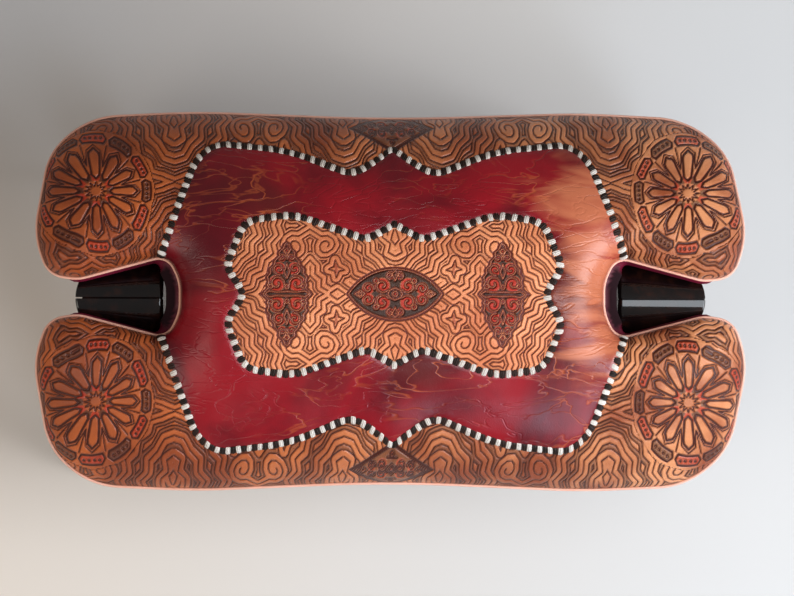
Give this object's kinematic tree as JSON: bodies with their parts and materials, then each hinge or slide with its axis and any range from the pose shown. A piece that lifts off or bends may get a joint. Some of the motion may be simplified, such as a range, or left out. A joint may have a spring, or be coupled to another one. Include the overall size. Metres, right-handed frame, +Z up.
{
  "type": "camel saddle stool",
  "caption": "Low wooden stool of two curved arches with a lift-off stuffed leather cushion, four-lobed, laced and embossed.",
  "frame": {"origin": "on the floor, under the middle of the stool", "axes": "+X along the cushion's length from front to rear, +Y across it to the right side, +Z up"},
  "size_m": [0.643, 0.3458, 0.4092],
  "materials": {
    "lacquered_wood": "black-brown gloss lacquer over carved hardwood",
    "bare_wood": "unfinished hardwood dowel",
    "stuffing": "cotton and wadding filling",
    "tan_leather": "embossed and hand-stained tan leather",
    "light_tan_leather": "embossed light tan leather",
    "oxblood_leather": "crackled two-tone oxblood leather with a wax sheen",
    "base_leather": "plain dark red leather",
    "piping_leather": "pale pink-tan leather piping",
    "black_lacing": "black leather thong",
    "white_lacing": "white leather thong"
  },
  "bodies": {
    "frame": {"front_left_cheek": "lacquered_wood", "front_right_cheek": "lacquered_wood", "rear_left_cheek": "lacquered_wood", "rear_right_cheek": "lacquered_wood", "front_crown_dowels": "bare_wood", "rear_crown_dowels": "bare_wood", "front_cross_tie": "lacquered_wood", "rear_cross_tie": "lacquered_wood", "left_seat_rail": "lacquered_wood", "right_seat_rail": "lacquered_wood", "left_stretcher": "lacquered_wood", "right_stretcher": "lacquered_wood", "seat_rail_pegs": "lacquered_wood", "stretcher_pegs": "lacquered_wood", "cross_tie_pegs": "lacquered_wood"},
    "cushion": {"cushion_core": "stuffing", "centre_panel": "light_tan_leather", "oxblood_band": "oxblood_leather", "left_border_panel": "tan_leather", "right_border_panel": "tan_leather", "left_base_panel": "base_leather", "right_base_panel": "base_leather", "piping": "piping_leather", "left_lacing_black": "black_lacing", "left_lacing_white": "white_lacing", "right_lacing_black": "black_lacing", "right_lacing_white": "white_lacing", "centre_lacing_black": "black_lacing", "centre_lacing_white": "white_lacing"}
  },
  "joints": [
    {"name": "cushion_lift", "type": "slide", "parent": "frame", "child": "cushion", "axis": [0, 0, 1], "range_m": [0, 0.15]}
  ]
}
